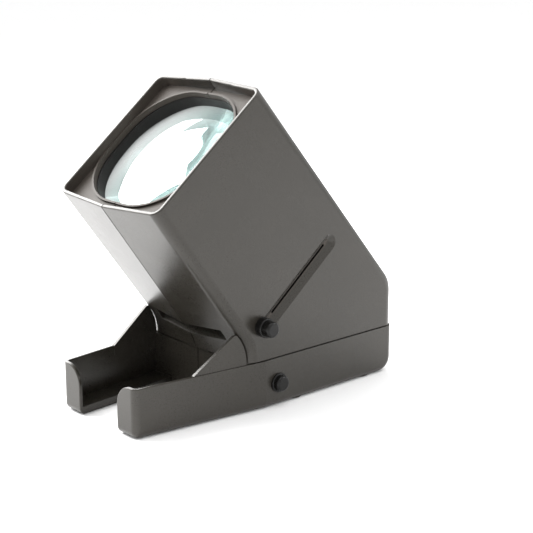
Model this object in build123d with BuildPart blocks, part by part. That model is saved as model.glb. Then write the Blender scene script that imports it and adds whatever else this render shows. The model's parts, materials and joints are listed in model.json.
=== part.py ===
"""Illuminated desktop viewer for 35 mm slides and film strips.

A tilted square hood holds a large magnifier in its rim. A slide drops through a channel across the
hood's lower end, over a lit window, and a button lets it fall into the catch tray in front.

X is the user's right, Y points away from the user, Z is up, and all lengths are millimetres.
The origin is on the base's underside, on the plane where the shells meet.
"""
from build123d import *
import math
import os

os.makedirs("parts", exist_ok=True)

# ------------------------------------------------------------------ driving dimensions
wall = 2.0                      # moulded shell thickness
half_width = 39.5               # from the seam to a side face
rear_y = 85.4                   # rear faces of hood and base
front_y = -82.2                 # front face of the tray arms
base_top_z = 25.3               # top of the base's walls
hood_bottom_z = 26.1            # lower edge of the hood, a shadow gap above the base
seam_groove, seam_depth = 0.3, 0.8     # half width and depth of the line where two shells meet
side_rounding = 5.5             # rounding round the hood's side faces

# Hood, seen from the side
view_tilt = 39.1                # optical axis from vertical
rim_mid_y, rim_mid_z = -42.2, 135.7
rim_length = 82.9
front_lean = 36.87              # front wall from vertical
rear_lean = 40.5                # rear wall from vertical
hood_front_y = -17.9            # short upright below the front wall
front_bow_rim = 2.55            # how far the front wall bows out at the seam, at the rim
front_bow_exit = 4.4            # the same beside the exit mouth
exit_run = 80.0                 # from the rim down the front wall to the exit mouth
foot_bow = 2.3                  # bow of the short upright
rear_bow = 2.55
knee_radius = 15.0
bend_radius = 24.0
overrun = 12.0                  # extra length that the rim and bottom cuts take off

# Depths below the rim, along the optical axis
lip_depth, shelf_depth = 4.3, 5.5
shelf_thickness = 1.8
lip_half, lip_round = 36.7, 30.0
lip_width = 1.1
lens_depth = 16.2
lens_thickness = 22.0
lens_surface_radius = 90.0
lens_half_x, lens_half_t, lens_round = 36.3, 37.2, 29.0
lens_holder_end = 25.0
exit_top_depth, exit_floor_depth = 83.0, 90.3
mask_depth, mask_thickness = 84.8, 1.5
gate_depth, gate_thickness = 90.0, 1.2
film_depth = 92.5
film_frame_depth, film_frame_thickness = 93.6, 1.2
diffuser_depth, diffuser_thickness = 94.8, 2.0
light_box_depth, light_box_end = 96.8, 113.0
board_thickness = 1.6
window_half = 18.0

# Base
bend_y = -7.4                   # the arms taper inwards in front of this line
arm_front_x = 29.9
back_wall_y = -19.0             # front face of the tray's back wall
gap_front_x, gap_rear_x = 15.6, 21.9
floor_top_z = 4.0
arm_corner = 3.6
rear_corner = 8.0
base_rounding = 3.5
arm_end_rounding = 10.0
top_softening = 0.5
cheek_inset, cheek_thickness = 0.6, 1.8
cheek_gap = 0.7
cheek_foot_y = -49.1
cheek_top_z = 42.2

# Buttons and slots in the side walls
release_y, release_z = -9.7, 43.8
release_reach, release_collar_reach = 8.5, 4.0
light_y, light_z = 1.3, 12.1
light_reach, light_collar_reach = 4.0, 1.2
light_travel = 2.0
cap_radius = 4.1
cap_softening = 1.3
cap_clearance = 0.06
collar_radius, spigot_radius = 5.05, 4.65
spigot_depth = 1.2              # how far a collar reaches in past the wall
flange_radius, flange_thickness = 4.9, 1.4
trough_top, trough_bottom = 29.6, -33.0
trough_width, trough_floor_width, trough_depth = 8.8, 1.8, 1.75
trough_drop = 0.8               # how far the trough's middle is below the slit
slit_top, slit_bottom, slit_width = 22.8, -23.5, 1.3
entry_half, exit_half = 26.5, 26.0
entry_top_depth, entry_floor_depth = 85.9, 90.6

# Fasteners
boss_radius, pilot_radius = 3.4, 1.45
head_radius, head_thickness = 2.8, 2.0
shank_radius, shank_length = 1.45, 13.0
counterbore_radius, clearance_radius = 3.2, 1.7
counterbore_floor = 4.0         # distance from the seam, or below the joint, to the screw's seat

# Batteries
cell_radius, cell_length, nub_radius, nub_length = 7.1, 50.5, 2.7, 1.2
cell_pitch, cell_z = 15.0, 11.0
cells_mid_y = 41.0
holder_half_x, holder_wall = 28.6, 1.2
holder_low_z, holder_high_z = 3.5, 20.2
door_front_y, door_half_x, door_gap = 8.2, 28.1, 0.3
door_lip_z = 12.0
tongue_half_x, tongue_top_z, tongue_gap = 29.6, 3.2, 0.15


# ------------------------------------------------------------------ frame helpers
axis_y = math.sin(math.radians(view_tilt))
axis_z = math.cos(math.radians(view_tilt))
rim_plane = Plane(origin=(0, rim_mid_y, rim_mid_z), x_dir=(1, 0, 0), z_dir=(0, -axis_y, axis_z))


def station(depth):
    """Plane square to the optical axis at a depth below the rim: local X is X, local Y runs up."""
    return rim_plane.offset(-depth)


def side_point(depth, along):
    """(y, z) of a point at a depth below the rim and a distance along it, from the rim's middle."""
    return (
        rim_mid_y + axis_y * depth + axis_z * along,
        rim_mid_z - axis_z * depth + axis_y * along,
    )


def slab(low_depth, high_depth, x_low, x_high, t_low, t_high, mode=Mode.ADD):
    """Block between two depths, inside the part being built."""
    with BuildSketch(station(high_depth)) as face:
        with Locations(((x_low + x_high) / 2, (t_low + t_high) / 2)):
            Rectangle(x_high - x_low, t_high - t_low)
    extrude(face.sketch, amount=high_depth - low_depth, mode=mode)


def block(low, high, mode=Mode.ADD):
    """Upright block between two corners, inside the part being built."""
    middle = tuple((a + b) / 2 for a, b in zip(low, high))
    with Locations(middle):
        Box(*(b - a for a, b in zip(low, high)), mode=mode)


def finish(part, label):
    """Names a finished piece and writes its file."""
    part.label = label
    export_step(part, f"parts/{label}.step")


# ------------------------------------------------------------------ hood shells
front_up = (-math.sin(math.radians(front_lean)), math.cos(math.radians(front_lean)))
rear_up = (-math.sin(math.radians(rear_lean)), math.cos(math.radians(rear_lean)))
front_out = (-front_up[1], front_up[0])
rear_out = (rear_up[1], -rear_up[0])
rim_front = side_point(0, -rim_length / 2)
rim_rear = side_point(0, rim_length / 2)


def shifted(point, *moves):
    """Point moved by (direction, distance) pairs."""
    y, z = point
    for direction, distance in moves:
        y += direction[0] * distance
        z += direction[1] * distance
    return (y, z)


def reach_y(start, through, y):
    """Point at a given y on the line through two points."""
    share = (y - start[0]) / (through[0] - start[0])
    return (y, start[1] + (through[1] - start[1]) * share)


def hood_outline(bow_rim, bow_exit, bow_foot, bow_rear):
    """Corners of the hood's side outline, overrunning the rim and the bottom."""
    front_top = shifted(rim_front, (front_out, bow_rim))
    front_low = shifted(rim_front, (front_up, -exit_run), (front_out, bow_exit))
    rear_top = shifted(rim_rear, (rear_out, bow_rear))
    rear_low = shifted(rear_top, (rear_up, -exit_run))
    low_z = hood_bottom_z - overrun
    face_y = hood_front_y - bow_foot
    return [
        shifted(front_top, (front_up, overrun)),
        shifted(rear_top, (rear_up, overrun)),
        reach_y(rear_top, rear_low, rear_y),
        (rear_y, low_z),
        (face_y, low_z),
        reach_y(front_top, front_low, face_y),
    ]


def hood_solid(inset):
    """Right half of the hood as a solid, with its walls set in by a distance."""
    middle = hood_outline(front_bow_rim, front_bow_exit, foot_bow, rear_bow)
    edge = hood_outline(0, 0, 0, 0)
    with BuildPart() as solid:
        for outline, x in ((middle, 0), (edge, half_width - inset)):
            with BuildSketch(Plane.YZ.offset(x)):
                with BuildLine():
                    Polyline(*outline, close=True)
                make_face()
                if inset:
                    offset(amount=-inset, kind=Kind.INTERSECTION)
        loft(ruled=True)
        across = solid.edges().filter_by(lambda e: e.bounding_box().size.X > half_width / 2)
        knee = across.sort_by(lambda e: e.distance_to(Vertex(0, *edge[2])))[0]
        fillet(knee, knee_radius - inset)
        across = solid.edges().filter_by(lambda e: e.bounding_box().size.X > half_width / 2)
        bend = across.sort_by(lambda e: e.distance_to(Vertex(0, *edge[5])))[0]
        fillet(bend, bend_radius + inset)
        fillet(solid.faces().sort_by(Axis.X)[-1].edges(), side_rounding - inset)
    return solid.part


hood_block = hood_solid(0)
hood_hollow = hood_solid(wall)
hood_core = hood_solid(seam_depth)
boss_spots = [side_point(40, 34.0), side_point(40, -34.5), (76.0, 43.0), (-5.0, 32.5)]
post_spots = [(34.2, 16.0), (34.2, 66.0)]
rib_width = 4.0

with BuildPart() as lip_opening:
    with BuildSketch(station(shelf_depth + shelf_thickness)):
        RectangleRounded(2 * lip_half, 2 * lip_half, lip_round)
    extrude(amount=shelf_depth + shelf_thickness)

with BuildPart() as hood_inside:
    # Everything that stands inside the right shell, cut to the hollow's outline.
    slab(shelf_depth, shelf_depth + shelf_thickness, 0, half_width, -50, 50)
    with BuildSketch(station(shelf_depth)):
        RectangleRounded(2 * (lip_half + lip_width), 2 * (lip_half + lip_width), lip_round + lip_width)
    extrude(amount=shelf_depth - lip_depth)
    split(bisect_by=Plane.YZ, keep=Keep.TOP)
    slab(lens_holder_end, lens_holder_end + 1.5, half_width - wall - 1.5, half_width, -36, 36)
    slab(83.2, mask_depth, half_width - wall - rib_width, half_width, -26, 34)
    slab(98.2, 99.8, half_width - wall - rib_width, half_width, -26, 28)
    slab(exit_floor_depth, exit_floor_depth + 1.5, 0, exit_half, -50, -36.6)
    add(lip_opening.part, mode=Mode.SUBTRACT)
    for spot in boss_spots:
        with BuildSketch(Plane.YZ):
            with Locations(spot):
                Circle(boss_radius)
        extrude(amount=half_width)
    for x, y in post_spots:
        with BuildSketch(Plane.XY.offset(hood_bottom_z)):
            with Locations((x, y)):
                Circle(boss_radius)
        extrude(amount=12)
    add(hood_block, mode=Mode.INTERSECT)


def seam_cut(core):
    """Thin slice beside the seam, outside a core: what it takes away leaves the shadow line."""
    with BuildPart() as cut:
        with BuildSketch(Plane.YZ):
            Rectangle(3 * rear_y, 3 * rear_y)
        extrude(amount=seam_groove)
        add(core, mode=Mode.SUBTRACT)
    return cut.part


def hood_half():
    """Right shell before anything that only one side has."""
    with BuildPart() as shell:
        add(hood_block)
        add(hood_hollow, mode=Mode.SUBTRACT)
        add(hood_inside.part)
        split(bisect_by=rim_plane, keep=Keep.BOTTOM)
        split(bisect_by=Plane.XY.offset(hood_bottom_z), keep=Keep.TOP)
        rim = shell.faces().filter_by(lambda f: rim_plane.to_local_coords(f.center()).Z > -0.01)
        ring = rim.edges().filter_by(lambda e: e.center().X > 0.5)
        fillet(ring, 0.7)
        # exit mouth, entry slot, film slit and its trough
        with BuildSketch(station(exit_floor_depth)):
            with Locations((0, -48)):
                Rectangle(2 * exit_half, 24)
        extrude(amount=exit_floor_depth - exit_top_depth, mode=Mode.SUBTRACT)
        with BuildSketch(station(entry_floor_depth)):
            with Locations((0, 46)):
                Rectangle(2 * entry_half, 24)
        extrude(amount=entry_floor_depth - entry_top_depth, mode=Mode.SUBTRACT)
        trough_mid = (trough_top + trough_bottom) / 2
        trough_run = trough_top - trough_bottom - trough_width
        trough_spots = (
            (0, trough_width, side_point(film_depth + trough_drop, trough_mid)),
            (trough_depth, trough_floor_width, side_point(film_depth, trough_mid)),
        )
        slit_spot = side_point(film_depth, (slit_top + slit_bottom) / 2)
        for depth, width, spot in trough_spots:
            with BuildSketch(Plane.YZ.offset(half_width - depth)):
                with Locations(spot):
                    SlotCenterToCenter(trough_run, width, rotation=view_tilt)
        loft(mode=Mode.SUBTRACT)
        with BuildSketch(Plane.YZ.offset(half_width - 3 * wall)):
            with Locations(slit_spot):
                Rectangle(slit_top - slit_bottom, slit_width, rotation=view_tilt)
        extrude(amount=3 * wall, mode=Mode.SUBTRACT)
        # shadow line along the seam, outside, across the rim and down its inner faces
        add(seam_cut(hood_core), mode=Mode.SUBTRACT)
        slab(-1, seam_depth, 0, seam_groove, -rim_length, rim_length, Mode.SUBTRACT)
        seam_t = rim_length / 2 + front_bow_rim - wall + seam_depth
        slab(-1, shelf_depth + seam_depth, 0, seam_groove, -seam_t, seam_t, Mode.SUBTRACT)
        # screw pilots at the seam and from below
        with BuildSketch(Plane.YZ):
            with Locations(*boss_spots):
                Circle(pilot_radius)
        extrude(amount=shank_length, mode=Mode.SUBTRACT)
        with BuildSketch(Plane.XY.offset(hood_bottom_z)):
            with Locations(*post_spots):
                Circle(pilot_radius)
        extrude(amount=10, mode=Mode.SUBTRACT)
    return shell.part


hood_shape = hood_half()
bracket_low, bracket_high = 23.7, 25.2
bar_low_t, bar_high_t = -34.4, -30.8
bar_top_depth, bar_bottom_depth = 91.6, 93.6
bar_clearance = 0.1


def side_hole(y, z, radius):
    """Round hole through the right side wall at a place, inside the part being built."""
    with BuildSketch(Plane.YZ.offset(half_width - 2 * wall)) as hole:
        with Locations((y, z)):
            Circle(radius)
    extrude(hole.sketch, amount=3 * wall, mode=Mode.SUBTRACT)


def screw_way(spots):
    """Screw heads' wells from the left face and the clearance holes to the seam."""
    with BuildSketch(Plane.YZ.offset(-half_width)) as well:
        with Locations(*spots):
            Circle(counterbore_radius)
    extrude(well.sketch, amount=half_width - counterbore_floor, mode=Mode.SUBTRACT)
    with BuildSketch(Plane.YZ.offset(-half_width)) as way:
        with Locations(*spots):
            Circle(clearance_radius)
    extrude(way.sketch, amount=half_width, mode=Mode.SUBTRACT)


with BuildPart() as hood_right_shell:
    add(hood_shape)
    # bracket that guides the release slider's bar
    slab(97.6, 99.2, bracket_low, half_width - wall / 2, -36.3, -30.7)
    slab(90.4, 97.6, bracket_low, bracket_high, -36.3, -30.7)
    way_depths = (bar_top_depth - bar_clearance, bar_bottom_depth + bar_clearance)
    slab(*way_depths, 20, 30, bar_low_t - bar_clearance, bar_high_t + bar_clearance, Mode.SUBTRACT)
    side_hole(release_y, release_z, spigot_radius)
finish(hood_right_shell.part, "hood_right_shell")

with BuildPart() as hood_left_shell:
    add(hood_shape)
    mirror(about=Plane.YZ, mode=Mode.REPLACE)
    with BuildSketch(Plane.YZ.offset(-half_width + wall / 2)):
        with Locations(*boss_spots):
            Circle(counterbore_radius + 1.0)
    extrude(amount=half_width - wall / 2)
    screw_way(boss_spots)
finish(hood_left_shell.part, "hood_left_shell")

# ------------------------------------------------------------------ base shells
arm_lean = math.degrees(math.atan2(half_width - arm_front_x, bend_y - front_y))
hood_bend_z = hood_outline(0, 0, 0, 0)[5][1]
base_boss_spots = [(-11.0, 9.0), (77.5, 16.8)]
ridge_outer, ridge_inner = 1.2, 2.0
skirt, sole = 3.6, 2.0
post_radius, post_seat_z = 4.0, 18.0


def outer_x(y, inset=0.0):
    """Outer face of the base at a place along it, set in square to the face."""
    lean = math.tan(math.radians(arm_lean)) * max(0, bend_y - y)
    return half_width - lean - inset / math.cos(math.radians(arm_lean))


def gap_x(y):
    """Inner edge of a tray floor strip."""
    share = (back_wall_y - y) / (back_wall_y - front_y)
    return gap_rear_x + (gap_front_x - gap_rear_x) * share


def prism(points, low_z, high_z, mode=Mode.ADD):
    """Upright prism over a plan outline, inside the part being built."""
    with BuildSketch(Plane.XY.offset(low_z)) as plan:
        with BuildLine():
            Polyline(*points, close=True)
        make_face()
    extrude(plan.sketch, amount=high_z - low_z, mode=mode)


def box_plan(inset, extra_x=0.0):
    """Plan of the base's box, behind the tray's back wall, set in by a distance."""
    low_y = back_wall_y + inset
    return [
        (-extra_x, rear_y - inset),
        (half_width - inset, rear_y - inset),
        (half_width - inset, bend_y),
        (outer_x(low_y, inset), low_y),
        (-extra_x, low_y),
    ]


def base_block():
    """Right half of the base as a solid, with its outer edges rounded."""
    with BuildPart() as solid:
        plan = [
            (0, rear_y),
            (half_width, rear_y),
            (half_width, bend_y),
            (arm_front_x, front_y),
            (gap_front_x, front_y),
            (gap_rear_x, back_wall_y),
            (0, back_wall_y),
        ]
        prism(plan, 0, base_top_z)
        upright = solid.edges().filter_by(Axis.Z)
        fillet(upright.sort_by(lambda e: e.distance_to(Vertex(arm_front_x, front_y, 0)))[0], arm_corner)
        across = solid.edges().filter_by(Axis.X)
        fillet(across.sort_by(lambda e: e.distance_to(Vertex(0, rear_y, 0)))[0], rear_corner)
        fillet(solid.edges().filter_by(is_outer_edge), base_rounding)
    return solid.part


def is_outer_edge(edge):
    """Edges that run round the outside of the base: its underside, its rear and its rear upright."""
    middle = edge.center()
    near_side = middle.X > outer_x(middle.Y) - arm_corner / 2
    near_front = middle.Y < front_y + arm_corner / 2 and middle.X > gap_front_x + 0.1
    if near_side and middle.Y > rear_y - rear_corner:
        return middle.Z < base_top_z - 0.1
    return (near_side or near_front) and middle.Z < 0.1


def is_top_edge(edge):
    """Edges round the top of an arm's walls, with the rounded inner end of its front wall."""
    box = edge.bounding_box()
    flat = box.min.Z > base_top_z - 0.01
    end_arc = box.size.Y < 0.01 and box.size.Z > arm_end_rounding / 2 and box.max.Z > base_top_z - 0.01
    return (flat and box.size.Y > 1) or (flat and box.max.Y < front_y + wall + 0.1) or end_arc


def arm_pocket():
    """Space inside a tray arm, above its floor strip, open to the gap between the arms."""
    low_y = front_y + wall
    reach = 8.0
    with BuildPart() as pocket:
        plan = [
            (outer_x(back_wall_y, wall), back_wall_y),
            (outer_x(low_y, wall), low_y),
            (gap_x(low_y) - reach, low_y),
            (gap_x(back_wall_y) - reach, back_wall_y),
        ]
        prism(plan, floor_top_z, 2 * base_top_z)
        corner = Vertex(outer_x(low_y, wall), low_y, floor_top_z)
        upright = pocket.edges().filter_by(Axis.Z)
        fillet(upright.sort_by(lambda e: e.distance_to(corner))[0], arm_corner - wall)
    return pocket.part


def cheek():
    """Upright cheek on an arm, following the hood's front corner with a gap."""
    arm_run = Vector(half_width - arm_front_x, bend_y - front_y, 0).normalized()
    outward = Vector(arm_run.Y, -arm_run.X, 0)
    start = Vector(half_width, bend_y, 0) - outward * (cheek_inset + cheek_thickness)
    face = Plane(origin=start, x_dir=arm_run, z_dir=outward)
    stretch = 1 / arm_run.Y
    bend_mid_y = hood_front_y - bend_radius
    bend_mid_z = hood_bend_z - bend_radius * math.tan(math.radians(front_lean / 2))
    round_radius = bend_radius - cheek_gap
    lean = math.radians(front_lean)
    arc_top = (bend_mid_y + round_radius * math.cos(lean), bend_mid_z + round_radius * math.sin(lean))
    run = (cheek_top_z - arc_top[1]) / math.cos(lean)
    tip = (arc_top[0] - run * math.sin(lean), cheek_top_z)
    low_z = base_top_z - 5

    def on_face(y, z):
        return ((y - bend_y) * stretch, z)

    half_lean = lean / 2
    arc_mid = (
        bend_mid_y + round_radius * math.cos(half_lean),
        bend_mid_z + round_radius * math.sin(half_lean),
    )
    with BuildPart() as plate:
        with BuildSketch(face):
            with BuildLine():
                ThreePointArc(
                    on_face(bend_mid_y + round_radius, bend_mid_z),
                    on_face(*arc_mid),
                    on_face(*arc_top),
                )
                Polyline(
                    on_face(*arc_top),
                    on_face(*tip),
                    on_face(cheek_foot_y, base_top_z),
                    on_face(cheek_foot_y, low_z),
                    on_face(bend_mid_y + round_radius, low_z),
                    on_face(bend_mid_y + round_radius, bend_mid_z),
                )
            make_face()
        extrude(amount=cheek_thickness)
        peak = plate.edges().sort_by(Axis.Z)[-1]
        fillet(peak, 1.5)
    return plate.part




def base_hollow():
    """Inside of the base's box, open at the top."""
    with BuildPart() as hollow:
        prism(box_plan(wall, 1), wall, 2 * base_top_z)
        across = hollow.edges().filter_by(Axis.X)
        fillet(across.sort_by(lambda e: e.distance_to(Vertex(0, rear_y, 0)))[0], rear_corner - wall)
    return hollow.part


def base_half():
    """Right base shell before anything that only one side has."""
    with BuildPart() as shell:
        add(base_block())
        add(arm_pocket(), mode=Mode.SUBTRACT)
        inner_end = Vertex(gap_x(front_y + wall / 2), front_y + wall / 2, base_top_z)
        fillet(shell.edges().sort_by(lambda e: e.distance_to(inner_end))[0], arm_end_rounding)
        # softened top edges of the arm
        on_arm = shell.edges().filter_by(lambda e: e.center().Y < back_wall_y)
        fillet(on_arm.filter_by(is_top_edge), top_softening)
        # hollow under the floor strip
        low_y = front_y + skirt
        high_y = back_wall_y - skirt / 2
        prism(
            [
                (outer_x(high_y, skirt), high_y),
                (outer_x(low_y, skirt), low_y),
                (gap_x(low_y) + wall, low_y),
                (gap_x(high_y) + wall, high_y),
            ],
            0,
            sole,
            Mode.SUBTRACT,
        )
        # inside of the box
        add(base_hollow(), mode=Mode.SUBTRACT)
        # ridge that the hood stands on
        prism(box_plan(ridge_outer), base_top_z - 1, hood_bottom_z)
        prism(box_plan(ridge_inner, 1), base_top_z - 1, hood_bottom_z, Mode.SUBTRACT)
        add(cheek())
        # bosses
        with BuildSketch(Plane.YZ):
            with Locations(*base_boss_spots):
                Circle(boss_radius)
        extrude(amount=half_width - wall / 2)
        with BuildSketch(Plane.XY):
            with Locations(*post_spots):
                Circle(post_radius)
        extrude(amount=hood_bottom_z)
        with BuildSketch(Plane.YZ):
            with Locations(*base_boss_spots):
                Circle(pilot_radius)
        extrude(amount=shank_length, mode=Mode.SUBTRACT)
        with BuildSketch(Plane.XY):
            with Locations(*post_spots):
                Circle(counterbore_radius)
        extrude(amount=post_seat_z, mode=Mode.SUBTRACT)
        with BuildSketch(Plane.XY):
            with Locations(*post_spots):
                Circle(clearance_radius)
        extrude(amount=hood_bottom_z, mode=Mode.SUBTRACT)
        # opening for the battery door, through the floor and the rear wall
        door_edge = door_half_x + door_gap
        block((-1, door_front_y - door_gap, -1), (door_edge, rear_y + 5, wall + 0.01), Mode.SUBTRACT)
        block((-1, rear_y - rear_corner, -1), (door_edge, rear_y + 5, door_lip_z + door_gap), Mode.SUBTRACT)
        # way for the door's tongue through the rear wall
        tongue_edge = tongue_half_x + door_gap
        tongue_way_z = tongue_top_z + door_gap
        block((-1, rear_y - 1.5 * rear_corner, wall), (tongue_edge, rear_y + 5, tongue_way_z), Mode.SUBTRACT)
        add(seam_cut(base_core()), mode=Mode.SUBTRACT)
    return shell.part


def base_core():
    """Base block set in by the depth of the seam's shadow line, on its front and rear faces."""
    with BuildPart() as core:
        low_y = back_wall_y + seam_depth
        block((0, low_y, seam_depth), (half_width, rear_y - seam_depth, 2 * base_top_z))
    return core.part


base_shape = base_half()

with BuildPart() as base_right_shell:
    add(base_shape)
    side_hole(light_y, light_z, spigot_radius)
    # stand for the switch
    block((19, -2, wall / 2), (25, 4.6, 6.4))
finish(base_right_shell.part, "base_right_shell")

with BuildPart() as base_left_shell:
    add(base_shape)
    mirror(about=Plane.YZ, mode=Mode.REPLACE)
    with BuildSketch(Plane.YZ.offset(-half_width + wall / 2)):
        with Locations(*base_boss_spots):
            Circle(counterbore_radius + 1.0)
    extrude(amount=half_width - wall / 2)
    screw_way(base_boss_spots)
finish(base_left_shell.part, "base_left_shell")

# ------------------------------------------------------------------ lens and its holders
with BuildPart() as magnifier_lens:
    middle_plane = station(lens_depth)
    with BuildSketch(station(lens_depth + lens_thickness / 2)):
        RectangleRounded(2 * lens_half_x, 2 * lens_half_t, lens_round)
    extrude(amount=lens_thickness)
    for side in (1, -1):
        reach = side * (lens_surface_radius - lens_thickness / 2)
        with Locations(Location(middle_plane.offset(-reach))):
            Sphere(lens_surface_radius, mode=Mode.INTERSECT)
finish(magnifier_lens.part, "magnifier_lens")

holder_clearance = 0.1
seat_width = 1.0


def lens_holder(low_depth, high_depth):
    """Square ring round the lens edge between two depths, seated on the lens."""
    half_x = half_width - wall - holder_clearance
    half_t = rim_length / 2 - wall
    with BuildPart() as ring:
        with BuildSketch(station(high_depth)):
            RectangleRounded(2 * half_x, 2 * half_t, side_rounding - wall)
        extrude(amount=high_depth - low_depth)
        with BuildSketch(station(high_depth)):
            half_opening = (lens_half_x - seat_width, lens_half_t - seat_width)
            RectangleRounded(2 * half_opening[0], 2 * half_opening[1], lens_round - seat_width)
        extrude(amount=high_depth - low_depth, mode=Mode.SUBTRACT)
        add(magnifier_lens.part, mode=Mode.SUBTRACT)
        for spot in boss_spots[:2]:
            with BuildSketch(Plane.YZ.offset(-half_width)):
                with Locations(spot):
                    Circle(counterbore_radius + 1.3)
            extrude(amount=2 * half_width, mode=Mode.SUBTRACT)
    return ring.part


finish(lens_holder(shelf_depth + shelf_thickness, lens_depth), "lens_frame")
finish(lens_holder(lens_depth, lens_holder_end), "lens_retainer")

# ------------------------------------------------------------------ slide channel and film gate
plate_half = 37.2
plate_top_t = 38.4
rail_half, rail_width = 25.6, 2.0
mask_front_t = -41.2
mask_lip_depth = 78.5

with BuildPart() as slide_mask:
    with BuildSketch(station(mask_depth + mask_thickness)):
        with Locations((0, (mask_front_t + plate_top_t) / 2)):
            RectangleRounded(2 * plate_half, plate_top_t - mask_front_t, side_rounding)
        Rectangle(2 * window_half, 2 * window_half, mode=Mode.SUBTRACT)
    extrude(amount=mask_thickness)
    slab(mask_lip_depth, mask_depth, -exit_half, exit_half, mask_front_t, mask_front_t + 1.4)
    for side in (-1, 1):
        low, high = sorted((side * rail_half, side * (rail_half + rail_width)))
        slab(mask_depth + mask_thickness, gate_depth, low, high, -24.4, plate_top_t)
finish(slide_mask.part, "slide_mask")

spring_x, spring_half_t, spring_drop, spring_gauge = 22.0, 15.0, 1.4, 0.3
spring_width = 4.0
with BuildPart() as slide_springs:
    top = mask_depth + mask_thickness
    for side in (-1, 1):
        with BuildSketch(Plane.YZ.offset(side * spring_x - spring_width / 2)):
            with BuildLine():
                outer = ThreePointArc(
                    side_point(top, -spring_half_t),
                    side_point(top + spring_drop, 0),
                    side_point(top, spring_half_t),
                )
                inner = ThreePointArc(
                    side_point(top, -spring_half_t + 2),
                    side_point(top + spring_drop - spring_gauge, 0),
                    side_point(top, spring_half_t - 2),
                )
                Line(outer @ 0, inner @ 0)
                Line(outer @ 1, inner @ 1)
            make_face()
        extrude(amount=spring_width)
finish(slide_springs.part, "slide_springs")

with BuildPart() as gate_plate:
    with BuildSketch(station(gate_depth + gate_thickness)):
        with Locations((0, (plate_top_t - 30.4) / 2)):
            RectangleRounded(2 * plate_half, plate_top_t + 30.4, 1.0)
        Rectangle(2 * window_half, 2 * window_half, mode=Mode.SUBTRACT)
        with Locations((-27.1, -30)):
            Rectangle(12.2, 10.4, mode=Mode.SUBTRACT)
        with Locations((34.3, -30.4)):
            Rectangle(19.4, 7.6, mode=Mode.SUBTRACT)
        for side in (-1, 1):
            with Locations((side * plate_half, plate_top_t)):
                Circle(side_rounding, mode=Mode.SUBTRACT)
    extrude(amount=gate_thickness)
finish(gate_plate.part, "gate_plate")

frame_half = 36.8
with BuildPart() as film_gate_frame:
    with BuildSketch(station(film_frame_depth + film_frame_thickness)):
        with Locations((0, 1.5)):
            RectangleRounded(2 * frame_half, 56.8, 2.0)
        Rectangle(2 * window_half, 2 * window_half, mode=Mode.SUBTRACT)
    extrude(amount=film_frame_thickness)
    for low_t, high_t in ((-26.9, -24.0), (23.3, 26.3)):
        slab(gate_depth + gate_thickness, film_frame_depth, -frame_half, frame_half, low_t, high_t)
finish(film_gate_frame.part, "film_gate_frame")

with BuildPart() as diffuser_panel:
    with BuildSketch(station(diffuser_depth + diffuser_thickness)):
        RectangleRounded(50.0, 50.0, 2.0)
    extrude(amount=diffuser_thickness)
finish(diffuser_panel.part, "diffuser_panel")

light_box_half, light_box_wall = 24.0, 1.2
with BuildPart() as light_box:
    flange_end = light_box_depth + 1.4
    slab(light_box_depth, flange_end, -frame_half, frame_half, -26.5, 28.5)
    slab(light_box_depth, light_box_end, -light_box_half, light_box_half, -light_box_half, light_box_half)
    inner = light_box_half - light_box_wall
    with BuildSketch(station(light_box_end)):
        Rectangle(2 * inner, 2 * inner)
    extrude(amount=light_box_end - light_box_depth, mode=Mode.SUBTRACT)
    with BuildSketch(station(light_box_end)):
        with GridLocations(2 * inner - 4, 2 * inner - 4, 2, 2):
            Rectangle(5, 5)
    extrude(amount=6)
    with BuildSketch(station(light_box_end)):
        with GridLocations(2 * inner - 4, 2 * inner - 4, 2, 2):
            Circle(pilot_radius - 0.45)
    extrude(amount=5, mode=Mode.SUBTRACT)
finish(light_box.part, "light_box")

board_end = light_box_end + board_thickness
screw_grid = 2 * (light_box_half - light_box_wall) - 4
with BuildPart() as led_board:
    with BuildSketch(station(board_end)):
        Rectangle(2 * light_box_half, 2 * light_box_half)
        with GridLocations(screw_grid, screw_grid, 2, 2):
            Circle(pilot_radius - 0.45, mode=Mode.SUBTRACT)
    extrude(amount=board_thickness)
finish(led_board.part, "led_board")

with BuildPart() as leds:
    with BuildSketch(station(light_box_end)):
        with GridLocations(14.0, 16.0, 3, 2):
            RectangleRounded(5.0, 5.0, 0.6)
    extrude(amount=1.6)
    with BuildSketch(station(light_box_end - 1.6)):
        with GridLocations(14.0, 16.0, 3, 2):
            Circle(1.9)
    extrude(amount=0.5, taper=30)
finish(leds.part, "leds")

with BuildPart() as board_resistors:
    with BuildSketch(station(board_end + 0.7)):
        with GridLocations(9.0, 20.0, 4, 2):
            Rectangle(3.2, 1.6)
    extrude(amount=0.7)
finish(board_resistors.part, "board_resistors")

with BuildPart() as board_screws:
    with BuildSketch(station(board_end + 1.4)):
        with GridLocations(screw_grid, screw_grid, 2, 2):
            Circle(1.9)
    extrude(amount=1.4)
    with BuildSketch(station(board_end)):
        with GridLocations(screw_grid, screw_grid, 2, 2):
            Circle(pilot_radius - 0.45)
    extrude(amount=board_thickness + 4.5)
finish(board_screws.part, "board_screws")


# ------------------------------------------------------------------ buttons
def collar(y, z, reach):
    """Bezel round a button: a flange on the wall and a spigot through it."""
    with BuildPart() as ring:
        with BuildSketch(Plane.YZ.offset(half_width)):
            with Locations((y, z)):
                Circle(collar_radius)
        extrude(amount=reach)
        outer_rim = ring.edges().sort_by(Axis.X)[-1]
        fillet(outer_rim, 0.6)
        with BuildSketch(Plane.YZ.offset(half_width)):
            with Locations((y, z)):
                Circle(spigot_radius)
        extrude(amount=-(wall + spigot_depth))
        with BuildSketch(Plane.YZ.offset(half_width - 2 * wall)):
            with Locations((y, z)):
                Circle(cap_radius + cap_clearance)
        extrude(amount=2 * wall + reach, mode=Mode.SUBTRACT)
    return ring.part


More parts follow.
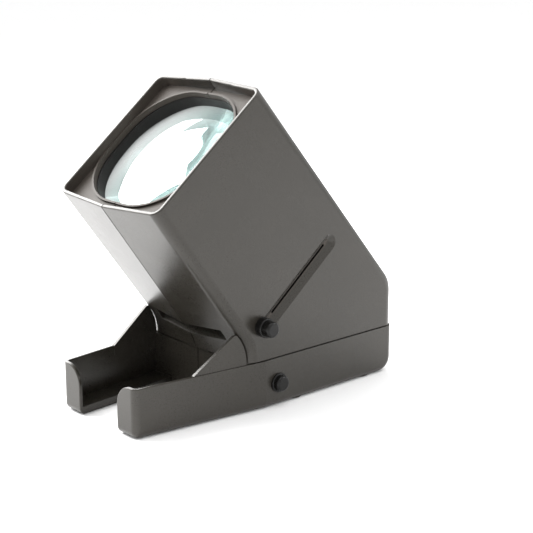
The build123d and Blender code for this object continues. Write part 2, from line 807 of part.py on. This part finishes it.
def button_cap(y, z, reach):
    """Round cap with a softened end and a flange that keeps it in."""
    flange_x = half_width - wall - spigot_depth - 0.1
    with BuildPart() as cap:
        with BuildSketch(Plane.YZ.offset(flange_x - flange_thickness)):
            with Locations((y, z)):
                Circle(cap_radius)
        extrude(amount=half_width + reach - flange_x + flange_thickness)
        fillet(cap.edges().sort_by(Axis.X)[-1], cap_softening)
        with BuildSketch(Plane.YZ.offset(flange_x - flange_thickness)):
            with Locations((y, z)):
                Circle(flange_radius)
        extrude(amount=flange_thickness)
    return cap.part


flange_inner_x = half_width - wall - spigot_depth - 0.1 - flange_thickness
finish(collar(release_y, release_z, release_collar_reach), "release_collar")
finish(button_cap(release_y, release_z, release_reach), "release_button")
finish(collar(light_y, light_z, light_collar_reach), "light_button_collar")
finish(button_cap(light_y, light_z, light_reach), "light_button")

lug_low_x, lug_high_x = -28.0, -21.5
with BuildPart() as release_slider:
    slab(bar_top_depth, bar_bottom_depth, lug_low_x, flange_inner_x, bar_low_t, bar_high_t)
    slab(gate_depth - 3.0, gate_depth + 1.0, lug_low_x, lug_high_x, bar_low_t, -25.3)
    slab(gate_depth + 1.0, bar_bottom_depth, lug_low_x, lug_high_x, bar_low_t, -28.5)
finish(release_slider.part, "release_slider")

coil_radius, coil_wire = 3.3, 0.35


def coil(start_x, length, radius, wire, turns, y, z):
    """Round wire coil along X."""
    with BuildPart() as spring:
        with BuildLine():
            turn = Helix(length / turns, length, radius, center=(start_x, y, z), direction=(1, 0, 0))
        with BuildSketch(Plane(origin=turn @ 0, z_dir=turn % 0)):
            Circle(wire)
        sweep(is_frenet=True)
    return spring.part


release_spring = coil(
    bracket_high + coil_wire + 0.05,
    flange_inner_x - bracket_high - 2 * coil_wire - 0.1,
    coil_radius,
    coil_wire,
    5,
    release_y,
    release_z,
)
finish(release_spring, "release_spring")

switch_face_x = 27.0
stem_radius = 1.5
with BuildPart() as switch_plunger:
    with BuildSketch(Plane.YZ.offset(switch_face_x - 4)):
        with Locations((light_y, light_z)):
            Circle(stem_radius)
    extrude(amount=flange_inner_x - switch_face_x + 4)
finish(switch_plunger.part, "switch_plunger")

with BuildPart() as switch_body:
    block((17.0, light_y - 5.3, 6.4), (switch_face_x, light_y + 5.3, 17.8))
    with BuildSketch(Plane.YZ.offset(switch_face_x - 4 - light_travel - 0.5)):
        with Locations((light_y, light_z)):
            Circle(stem_radius + cap_clearance)
    extrude(amount=20, mode=Mode.SUBTRACT)
finish(switch_body.part, "switch_body")

# ------------------------------------------------------------------ batteries
contact_gauge = 0.5
contact_x = holder_half_x - holder_wall - contact_gauge
cell_ys = [cells_mid_y + (i - 1.5) * cell_pitch for i in range(4)]
cell_ways = [1, -1, 1, -1]
holder_half_y = 1.5 * cell_pitch + cell_radius + 0.45 + holder_wall
with BuildPart() as battery_holder:
    low = (-holder_half_x, cells_mid_y - holder_half_y, holder_low_z)
    high = (holder_half_x, cells_mid_y + holder_half_y, holder_high_z)
    block(low, high)
    block(
        (low[0] + holder_wall, low[1] + holder_wall, low[2] - 1),
        (high[0] - holder_wall, high[1] - holder_wall, high[2] - holder_wall),
        Mode.SUBTRACT,
    )
finish(battery_holder.part, "battery_holder")

for number, (cell_y, way) in enumerate(zip(cell_ys, cell_ways), 1):
    with BuildPart() as cell:
        shoulder_x = (contact_x - nub_length) * way
        with BuildSketch(Plane.YZ.offset(shoulder_x)):
            with Locations((cell_y, cell_z)):
                Circle(cell_radius)
        extrude(amount=-way * (cell_length - nub_length))
        fillet(cell.edges(), 0.6)
        with BuildSketch(Plane.YZ.offset(shoulder_x)):
            with Locations((cell_y, cell_z)):
                Circle(nub_radius)
        extrude(amount=way * nub_length)
    finish(cell.part, f"aa_cell_{number}")

contact_half = 5.0
with BuildPart() as contact_plates:
    for cell_y in cell_ys:
        for side in (-1, 1):
            low_x, high_x = sorted((side * contact_x, side * (contact_x + contact_gauge)))
            block(
                (low_x, cell_y - contact_half, cell_z - contact_half),
                (high_x, cell_y + contact_half, cell_z + contact_half),
            )
finish(contact_plates.part, "contact_plates")

cell_far_x = contact_x - cell_length
with BuildPart() as contact_springs:
    for cell_y, way in zip(cell_ys, cell_ways):
        start_x = min(-way * contact_x, way * cell_far_x) + coil_wire
        length = contact_x + cell_far_x - 2 * coil_wire
        add(coil(start_x, abs(length), coil_radius, coil_wire, 3, cell_y, cell_z))
finish(contact_springs.part, "contact_springs")

with BuildPart() as battery_door:
    with BuildSketch(Plane.YZ.offset(-door_half_x)):
        with BuildLine():
            Polyline(
                (rear_y, rear_corner),
                (rear_y, door_lip_z),
                (rear_y - wall, door_lip_z),
                (rear_y - wall, rear_corner),
            )
            RadiusArc((rear_y - wall, rear_corner), (rear_y - rear_corner, wall), rear_corner - wall)
            Polyline(
                (rear_y - rear_corner, wall),
                (door_front_y, wall),
                (door_front_y, 0),
                (rear_y - rear_corner, 0),
            )
            RadiusArc((rear_y - rear_corner, 0), (rear_y, rear_corner), -rear_corner)
        make_face()
    extrude(amount=2 * door_half_x)
    tongue_end = cells_mid_y + holder_half_y - 1
    block((-door_half_x, door_front_y, wall - 0.5), (door_half_x, tongue_end, tongue_top_z))
    block((-tongue_half_x, door_front_y, wall + tongue_gap), (tongue_half_x, tongue_end, tongue_top_z))
    # finger grooves near the rear edge
    for step in range(4):
        groove_y = rear_y - rear_corner - 4 - 3 * step
        block((-9, groove_y, -1), (9, groove_y + 1.2, 0.6), Mode.SUBTRACT)
finish(battery_door.part, "battery_door")


# ------------------------------------------------------------------ fasteners
def side_screws(spots):
    """Screws driven from the left, one at each spot, seated short of the seam."""
    with BuildPart() as screws:
        with BuildSketch(Plane.YZ.offset(-counterbore_floor - head_thickness)):
            with Locations(*spots):
                Circle(head_radius)
        extrude(amount=head_thickness)
        fillet(screws.edges().group_by(Axis.X)[0], 0.8)
        with BuildSketch(Plane.YZ.offset(-counterbore_floor)):
            with Locations(*spots):
                Circle(shank_radius)
        extrude(amount=shank_length)
        with BuildSketch(Plane.YZ.offset(-counterbore_floor - head_thickness)):
            with Locations(*spots):
                Rectangle(3.2, 0.7)
                Rectangle(0.7, 3.2)
        extrude(amount=1.0, mode=Mode.SUBTRACT)
    return screws.part


finish(side_screws(boss_spots), "hood_screws")
finish(side_screws(base_boss_spots), "base_screws")

all_posts = post_spots + [(-x, y) for x, y in post_spots]
with BuildPart() as hood_base_screws:
    with BuildSketch(Plane.XY.offset(post_seat_z - head_thickness)):
        with Locations(*all_posts):
            Circle(head_radius)
    extrude(amount=head_thickness)
    fillet(hood_base_screws.edges().group_by(Axis.Z)[0], 0.8)
    with BuildSketch(Plane.XY.offset(post_seat_z)):
        with Locations(*all_posts):
            Circle(shank_radius)
    extrude(amount=shank_length + 3)
    with BuildSketch(Plane.XY.offset(post_seat_z - head_thickness)):
        with Locations(*all_posts):
            Rectangle(3.2, 0.7)
            Rectangle(0.7, 3.2)
    extrude(amount=1.0, mode=Mode.SUBTRACT)
finish(hood_base_screws.part, "hood_base_screws")

# ------------------------------------------------------------------ leads inside the housing
lead_radius = 0.6


def lead(points, bend):
    """Insulated lead along straight runs joined by tangent arcs."""
    with BuildPart() as wire:
        with BuildLine() as route:
            FilletPolyline(*points, radius=bend)
        start = route.wires()[0]
        with BuildSketch(Plane(origin=start @ 0, z_dir=start % 0)):
            Circle(lead_radius)
        sweep(path=start)
    return wire.part


def below_board(x, along, drop):
    """Point at a distance straight out from the board's underside."""
    y, z = side_point(board_end + drop, along)
    return (x, y, z)


holder_front_y = cells_mid_y - holder_half_y
lead_z = 14.0
finish(
    lead(
        [
            (10.0, holder_front_y, lead_z),
            (10.0, holder_front_y - 5, lead_z),
            (13.0, light_y, lead_z),
            (17.0, light_y, lead_z),
        ],
        2.0,
    ),
    "battery_lead",
)
finish(
    lead(
        [
            (17.0, light_y, 9.0),
            (8.0, light_y, 9.0),
            (8.0, light_y + 2, 24.0),
            below_board(8.0, -12.0, 6.0),
            below_board(8.0, -12.0, 0),
        ],
        3.0,
    ),
    "lamp_lead",
)
finish(
    lead(
        [
            (-10.0, holder_front_y, lead_z),
            (-10.0, holder_front_y - 6, lead_z),
            (-10.0, light_y + 2, 24.0),
            below_board(-10.0, -12.0, 6.0),
            below_board(-10.0, -12.0, 0),
        ],
        2.5,
    ),
    "return_lead",
)
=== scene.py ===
import json
import math

import bpy
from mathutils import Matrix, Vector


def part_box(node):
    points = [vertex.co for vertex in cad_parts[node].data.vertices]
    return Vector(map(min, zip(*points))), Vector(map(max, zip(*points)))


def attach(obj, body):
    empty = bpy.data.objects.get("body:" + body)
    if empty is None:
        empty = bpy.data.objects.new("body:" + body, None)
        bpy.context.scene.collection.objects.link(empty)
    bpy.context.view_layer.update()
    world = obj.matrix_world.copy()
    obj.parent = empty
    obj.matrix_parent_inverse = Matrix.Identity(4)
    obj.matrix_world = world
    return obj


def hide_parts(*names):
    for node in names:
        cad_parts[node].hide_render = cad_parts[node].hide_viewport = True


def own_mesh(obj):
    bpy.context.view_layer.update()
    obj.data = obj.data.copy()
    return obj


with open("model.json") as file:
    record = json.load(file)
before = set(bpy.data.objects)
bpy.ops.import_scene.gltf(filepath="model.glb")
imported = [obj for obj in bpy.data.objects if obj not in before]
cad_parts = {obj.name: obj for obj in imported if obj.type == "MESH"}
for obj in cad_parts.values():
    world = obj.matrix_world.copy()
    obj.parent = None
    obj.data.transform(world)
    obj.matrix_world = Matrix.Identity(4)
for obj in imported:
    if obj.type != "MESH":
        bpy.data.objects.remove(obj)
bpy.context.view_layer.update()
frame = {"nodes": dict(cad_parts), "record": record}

nodes = frame["nodes"]
MM = 0.001
VIEW_TILT = 39.1                      # the hood's optical axis from vertical, degrees
RIM_MIDDLE = (0.0, -0.0422, 0.1357)   # middle of the hood's rim
RECESS_HALF_WIDTH = 0.0377            # inside the rim, from its middle to a side wall
RECESS_HALF_LENGTH = 0.0402           # inside the rim, from its middle to the front and rear walls
RECESS_EDGE = (-0.0007, -0.0003)      # height below the rim over which the painted lightening and matt finish inside it start
FLOOR_DROP = 0.0003                   # the floor's gap below the viewer's feet


# ------------------------------------------------------------------ camera
def add_camera():
    """Camera at the viewing angle: in front of the user's right shoulder, a little above."""
    azimuth, pitch, focal_share = 47.88, -14.65, 2.517
    data = bpy.data.cameras.new("camera")
    data.sensor_width = 36.0
    data.lens = data.sensor_width * focal_share
    data.clip_start = 0.01
    camera = bpy.data.objects.new("camera", data)
    bpy.context.scene.collection.objects.link(camera)
    camera.location = (0.5122, -0.4345, 0.2408)
    camera.rotation_euler = (math.radians(90 + pitch), 0, math.radians(azimuth))
    bpy.context.scene.camera = camera


# ------------------------------------------------------------------ light and floor
def add_world(strength):
    """Even white studio surround."""
    world = bpy.data.worlds.new("studio")
    world.use_nodes = True
    background = world.node_tree.nodes["Background"]
    background.inputs["Color"].default_value = (1.0, 1.0, 1.0, 1.0)
    background.inputs["Strength"].default_value = strength
    bpy.context.scene.world = world


def add_softbox(name, location, target, size, power):
    """Rectangular area light aimed at a point."""
    light = bpy.data.lights.new(name, "AREA")
    light.shape = "RECTANGLE"
    light.size, light.size_y = size
    light.energy = power
    lamp = bpy.data.objects.new(name, light)
    bpy.context.scene.collection.objects.link(lamp)
    lamp.location = location
    aim = [t - p for t, p in zip(target, location)]
    flat = math.hypot(aim[0], aim[1])
    lamp.rotation_euler = (math.atan2(flat, -aim[2]), 0, math.atan2(-aim[0], aim[1]))


def add_floor(material):
    """Plain pale floor."""
    half = 3.0
    mesh = bpy.data.meshes.new("floor")
    corners = [(-half, -half, 0), (half, -half, 0), (half, half, 0), (-half, half, 0)]
    mesh.from_pydata(corners, [], [(0, 1, 2, 3)])
    floor = bpy.data.objects.new("floor", mesh)
    bpy.context.scene.collection.objects.link(floor)
    floor.location.z = -FLOOR_DROP
    mesh.materials.append(material)


# ------------------------------------------------------------------ materials
class Surface:
    """A procedural material under construction: its node tree and its Principled shader."""

    def __init__(self, name):
        self.material = bpy.data.materials.new(name)
        self.material.use_nodes = True
        self.tree = self.material.node_tree
        self.shader = self.tree.nodes["Principled BSDF"]
        self.place = self.node("ShaderNodeTexCoord").outputs["Object"]

    def node(self, kind, **settings):
        made = self.tree.nodes.new(kind)
        for key, value in settings.items():
            setattr(made, key, value)
        return made

    def link(self, source, target):
        self.tree.links.new(source, target)

    def noise(self, size_mm, detail=2.0):
        """Noise whose features are about this many millimetres across."""
        made = self.node("ShaderNodeTexNoise")
        made.inputs["Scale"].default_value = 1.0 / (size_mm * MM)
        made.inputs["Detail"].default_value = detail
        made.inputs["Roughness"].default_value = 0.5
        self.link(self.place, made.inputs["Vector"])
        return made.outputs["Fac"]

    def span(self, source, low, high, from_low=0.3, from_high=0.7):
        """A value that runs from low to high as the source does."""
        made = self.node("ShaderNodeMapRange")
        made.inputs["From Min"].default_value = from_low
        made.inputs["From Max"].default_value = from_high
        made.inputs["To Min"].default_value = low
        made.inputs["To Max"].default_value = high
        self.link(source, made.inputs["Value"])
        return made.outputs["Result"]

    def blend(self, factor, first, second):
        """Colour mixed between two colours."""
        made = self.node("ShaderNodeMix", data_type="RGBA")
        self.link(factor, made.inputs["Factor"])
        for socket, colour in ((made.inputs[6], first), (made.inputs[7], second)):
            if isinstance(colour, tuple):
                socket.default_value = (*colour, 1.0)
            else:
                self.link(colour, socket)
        return made.outputs[2]

    def add(self, first, second):
        made = self.node("ShaderNodeMath", operation="ADD")
        self.link(first, made.inputs[0])
        self.link(second, made.inputs[1])
        return made.outputs["Value"]

    def along(self, direction, offset_m):
        """Distance of a point along a direction, from a plane."""
        made = self.node("ShaderNodeVectorMath", operation="DOT_PRODUCT")
        made.inputs[1].default_value = direction
        self.link(self.place, made.inputs[0])
        shift = self.node("ShaderNodeMath", operation="SUBTRACT")
        shift.inputs[1].default_value = offset_m
        self.link(made.outputs["Value"], shift.inputs[0])
        return shift.outputs["Value"]

    def within(self, value, half_m, edge_m=0.0003):
        """One where a distance is inside a half width, zero beyond it."""
        size = self.node("ShaderNodeMath", operation="ABSOLUTE")
        self.link(value, size.inputs[0])
        return self.span(size.outputs["Value"], 1.0, 0.0, half_m, half_m + edge_m)

    def multiply(self, first, second):
        made = self.node("ShaderNodeMath", operation="MULTIPLY")
        self.link(first, made.inputs[0])
        self.link(second, made.inputs[1])
        return made.outputs["Value"]

    def painted_light_and_matt_rim_mask(self):
        """One on the walls and shelf inside the hood's rim, zero on the outside: where the housing is
        painted lighter and made matt.
        """
        tilt = math.radians(VIEW_TILT)
        up = (0.0, -math.sin(tilt), math.cos(tilt))
        run = (0.0, math.cos(tilt), math.sin(tilt))
        height = self.along(up, sum(a * b for a, b in zip(up, RIM_MIDDLE)))
        across = self.along((1.0, 0.0, 0.0), 0.0)
        down_hood = self.along(run, sum(a * b for a, b in zip(run, RIM_MIDDLE)))
        inside = self.multiply(self.within(across, RECESS_HALF_WIDTH),
                               self.within(down_hood, RECESS_HALF_LENGTH))
        below_edge = self.span(height, 1.0, 0.0, *RECESS_EDGE)
        return self.multiply(inside, below_edge)

    def bump(self, height, distance_mm):
        """Surface relief of a real height."""
        made = self.node("ShaderNodeBump")
        made.inputs["Distance"].default_value = distance_mm * MM
        made.inputs["Strength"].default_value = 1.0
        self.link(height, made.inputs["Height"])
        self.link(made.outputs["Normal"], self.shader.inputs["Normal"])

    def set(self, **values):
        for key, value in values.items():
            self.shader.inputs[key.replace("_", " ")].default_value = value

    def put(self, **sources):
        for key, source in sources.items():
            self.link(source, self.shader.inputs[key.replace("_", " ")])


def moulded(name, colour, roughness, grain_mm=0.35, relief_mm=0.006, mottle=0.12, ior=1.5):
    """Moulded plastic: a fine spark-eroded grain, faint mottling and uneven gloss."""
    surface = Surface(name)
    light = tuple(c * (1 + mottle) for c in colour)
    dark = tuple(c * (1 - mottle) for c in colour)
    cloud = surface.noise(26.0, 3.0)
    grain = surface.noise(grain_mm, 2.0)
    surface.put(Base_Color=surface.blend(surface.span(cloud, 0.0, 1.0), dark, light))
    broad = surface.span(surface.noise(14.0, 4.0), -0.05, 0.05)
    fine = surface.span(grain, roughness - 0.03, roughness + 0.03)
    surface.put(Roughness=surface.add(broad, fine))
    surface.bump(grain, relief_mm)
    surface.set(IOR=ior)
    return surface.material


def housing():
    """Warm dark grey moulding with a satin gloss; matt inside the hood's rim, and painted twice as
    light there to stand in for light.
    """
    surface = Surface("housing")
    cloud = surface.span(surface.noise(26.0, 3.0), 0.0, 1.0)
    broad = surface.span(surface.noise(14.0, 4.0), -0.012, 0.012)
    grain = surface.noise(0.35, 2.0)
    painted_light_and_matt_inside_rim = surface.painted_light_and_matt_rim_mask()
    outside = surface.blend(cloud, (0.017, 0.0152, 0.012), (0.0215, 0.019, 0.0152))
    # Painted light: inside the rim the colour is twice as light as outside, standing in for light on
    # those walls and the shelf.
    surface.put(Base_Color=surface.blend(painted_light_and_matt_inside_rim, outside, (0.044, 0.037, 0.031)))
    gloss = surface.add(broad, surface.span(grain, 0.26, 0.32))
    surface.put(Roughness=surface.add(gloss, surface.span(painted_light_and_matt_inside_rim, 0.0, 0.25, 0.0, 1.0)))
    surface.put(Specular_IOR_Level=surface.span(painted_light_and_matt_inside_rim, 0.5, 0.24, 0.0, 1.0))
    surface.bump(grain, 0.006)
    surface.set(IOR=1.5, Specular_Tint=(1.0, 0.975, 0.94, 1.0))
    return surface.material


def glass():
    """Polished lens, tinted green on its right side; on its left a painted reflection of the studio
    light: near-white colour, less clear, and a painted glow from emission.

    The split is fixed in the object and set for the main view: a real lens is the same all over.
    """
    surface = Surface("lens_glass")
    split_direction, split_offset = (0.96, -0.22, -0.18), -0.0151
    # Painted reflection and glow: the left side is made near-white, less clear and emissive where the
    # studio light shows in the lens.
    across = surface.along(split_direction, split_offset)
    painted_reflection_share = surface.span(across, 1.0, 0.0, -0.024, 0.01)
    marks = surface.noise(11.0, 3.0)
    clear = surface.blend(marks, (0.4, 0.8, 0.76), (0.48, 0.84, 0.8))
    surface.put(Base_Color=surface.blend(painted_reflection_share, clear, (0.95, 0.99, 0.985)))
    surface.put(Transmission_Weight=surface.span(painted_reflection_share, 0.97, 0.84, 0.0, 1.0))
    surface.put(Emission_Strength=surface.span(painted_reflection_share, 0.0, 0.33, 0.0, 1.0))
    surface.set(Emission_Color=(0.97, 1.0, 0.99, 1.0), IOR=1.52, Roughness=0.0)
    surface.set(Coat_Weight=1.0, Coat_IOR=1.6, Coat_Roughness=0.0)
    return surface.material


def brushed(name, colour, roughness):
    """Plated metal drawn or rolled along its length."""
    surface = Surface(name)
    streak = surface.noise(0.5, 3.0)
    dark = tuple(c * 0.8 for c in colour)
    surface.put(Base_Color=surface.blend(surface.span(surface.noise(3.0), 0.0, 1.0), dark, colour))
    surface.put(Roughness=surface.span(streak, roughness - 0.08, roughness + 0.1))
    surface.bump(streak, 0.003)
    surface.set(Metallic=1.0)
    return surface.material


def printed_board():
    """White solder mask over faint copper tracks."""
    surface = Surface("circuit_board")
    weave = surface.noise(0.8, 1.0)
    tracks = surface.node("ShaderNodeTexVoronoi", feature="DISTANCE_TO_EDGE")
    tracks.inputs["Scale"].default_value = 1.0 / (5.0 * MM)
    surface.link(surface.place, tracks.inputs["Vector"])
    edge = surface.span(tracks.outputs["Distance"], 0.0, 1.0, 0.03, 0.08)
    surface.put(Base_Color=surface.blend(edge, (0.62, 0.66, 0.6), (0.78, 0.79, 0.76)))
    surface.put(Roughness=surface.span(weave, 0.25, 0.4))
    surface.bump(weave, 0.004)
    return surface.material


def floor_material():
    """Matt white paper sweep."""
    surface = Surface("paper")
    fibre = surface.noise(1.2, 4.0)
    surface.put(Base_Color=surface.blend(fibre, (0.9, 0.9, 0.9), (0.93, 0.93, 0.93)))
    surface.put(Roughness=surface.span(fibre, 0.6, 0.8))
    surface.bump(fibre, 0.01)
    return surface.material


def materials():
    """One material for each of the record's slots."""
    return {
        "housing": housing(),
        "button_black": moulded("button_black", (0.004, 0.0038, 0.0035), 0.28, 0.5, 0.003, ior=1.33),
        "lens_glass": glass(),
        "inner_black": moulded("inner_black", (0.006, 0.0055, 0.005), 0.6, 0.3, 0.01, ior=1.33),
        "spring_steel": brushed("spring_steel", (0.6, 0.59, 0.56), 0.3),
        "screw_steel": brushed("screw_steel", (0.5, 0.5, 0.49), 0.35),
        "diffuser_white": moulded("diffuser_white", (0.8, 0.8, 0.78), 0.5, 0.6, 0.004, 0.03),
        "circuit_board": printed_board(),
        "led_lens": moulded("led_lens", (0.75, 0.62, 0.2), 0.2, 0.4, 0.002, 0.1),
        "resistor": moulded("resistor", (0.02, 0.02, 0.02), 0.3, 0.2, 0.003),
        "cell_jacket": moulded("cell_jacket", (0.03, 0.034, 0.042), 0.22, 0.8, 0.002, 0.2),
        "lead_red": moulded("lead_red", (0.35, 0.012, 0.01), 0.4, 0.4, 0.004),
        "lead_black": moulded("lead_black", (0.01, 0.01, 0.01), 0.4, 0.4, 0.004),
    }


def dress_nodes(made):
    """Every CAD node takes its slot's material."""
    for entry in frame["record"]["subparts"]:
        piece = nodes[entry["node"]]
        material = made[entry["material_slot"]]
        if not piece.material_slots:
            piece.data.materials.append(material)
        for slot in piece.material_slots:
            slot.material = material


def release_coil(material):
    """Release button's return spring, with closed end turns."""
    low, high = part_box("release_spring")
    middle_y, middle_z = (low[1] + high[1]) / 2, (low[2] + high[2]) / 2
    wire = 0.35 * MM
    radius = (high[1] - low[1]) / 2 - wire
    turns, steps, around = 6, 40, 12
    closed_pitch = 2.15 * wire
    open_pitch = (high[0] - low[0] - 2 * wire - 2 * closed_pitch) / (turns - 2)
    points, faces = [], []
    for i in range(turns * steps + 1):
        turn = i / steps
        opened = min(max(turn - 1, 0), turns - 2)
        angle = 2 * math.pi * turn
        x = low[0] + wire + open_pitch * opened + closed_pitch * (turn - opened)
        for j in range(around):
            lift = 2 * math.pi * j / around
            reach = radius + wire * math.cos(lift)
            points.append((x + wire * math.sin(lift), middle_y + reach * math.cos(angle),
                           middle_z + reach * math.sin(angle)))
    for i in range(turns * steps):
        for j in range(around):
            a, b = i * around + j, i * around + (j + 1) % around
            faces.append((a, a + around, b + around, b))
    faces.append(tuple(range(around)))
    faces.append(tuple(reversed(range(turns * steps * around, (turns * steps + 1) * around))))
    mesh = bpy.data.meshes.new("release_coil")
    mesh.from_pydata(points, [], faces)
    mesh.shade_smooth()
    mesh.materials.append(material)
    coil = bpy.data.objects.new("release_coil", mesh)
    bpy.context.scene.collection.objects.link(coil)
    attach(coil, "viewer")
    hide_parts("release_spring")
    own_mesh(coil)


# ------------------------------------------------------------------ scene
finishes = materials()
add_camera()
dress_nodes(finishes)
release_coil(finishes["spring_steel"])
add_floor(floor_material())
add_world(1.08)
add_softbox("left_softbox", (-0.58, -0.26, 0.52), (-0.09, -0.06, 0.0), (0.6, 0.7), 14.5)
add_softbox("lens_softbox", (-0.75, 0.16, 0.42), (0.0, -0.04, 0.13), (0.75, 0.6), 7.0)
add_softbox("top_softbox", (0.05, -0.1, 1.0), (0.0, 0.0, 0.0), (0.8, 0.8), 4.5)
add_softbox("rear_softbox", (0.6, 0.62, 0.42), (0.55, 0.55, 0.0), (0.4, 0.4), 3.0)
bpy.context.scene.view_settings.view_transform = "Standard"
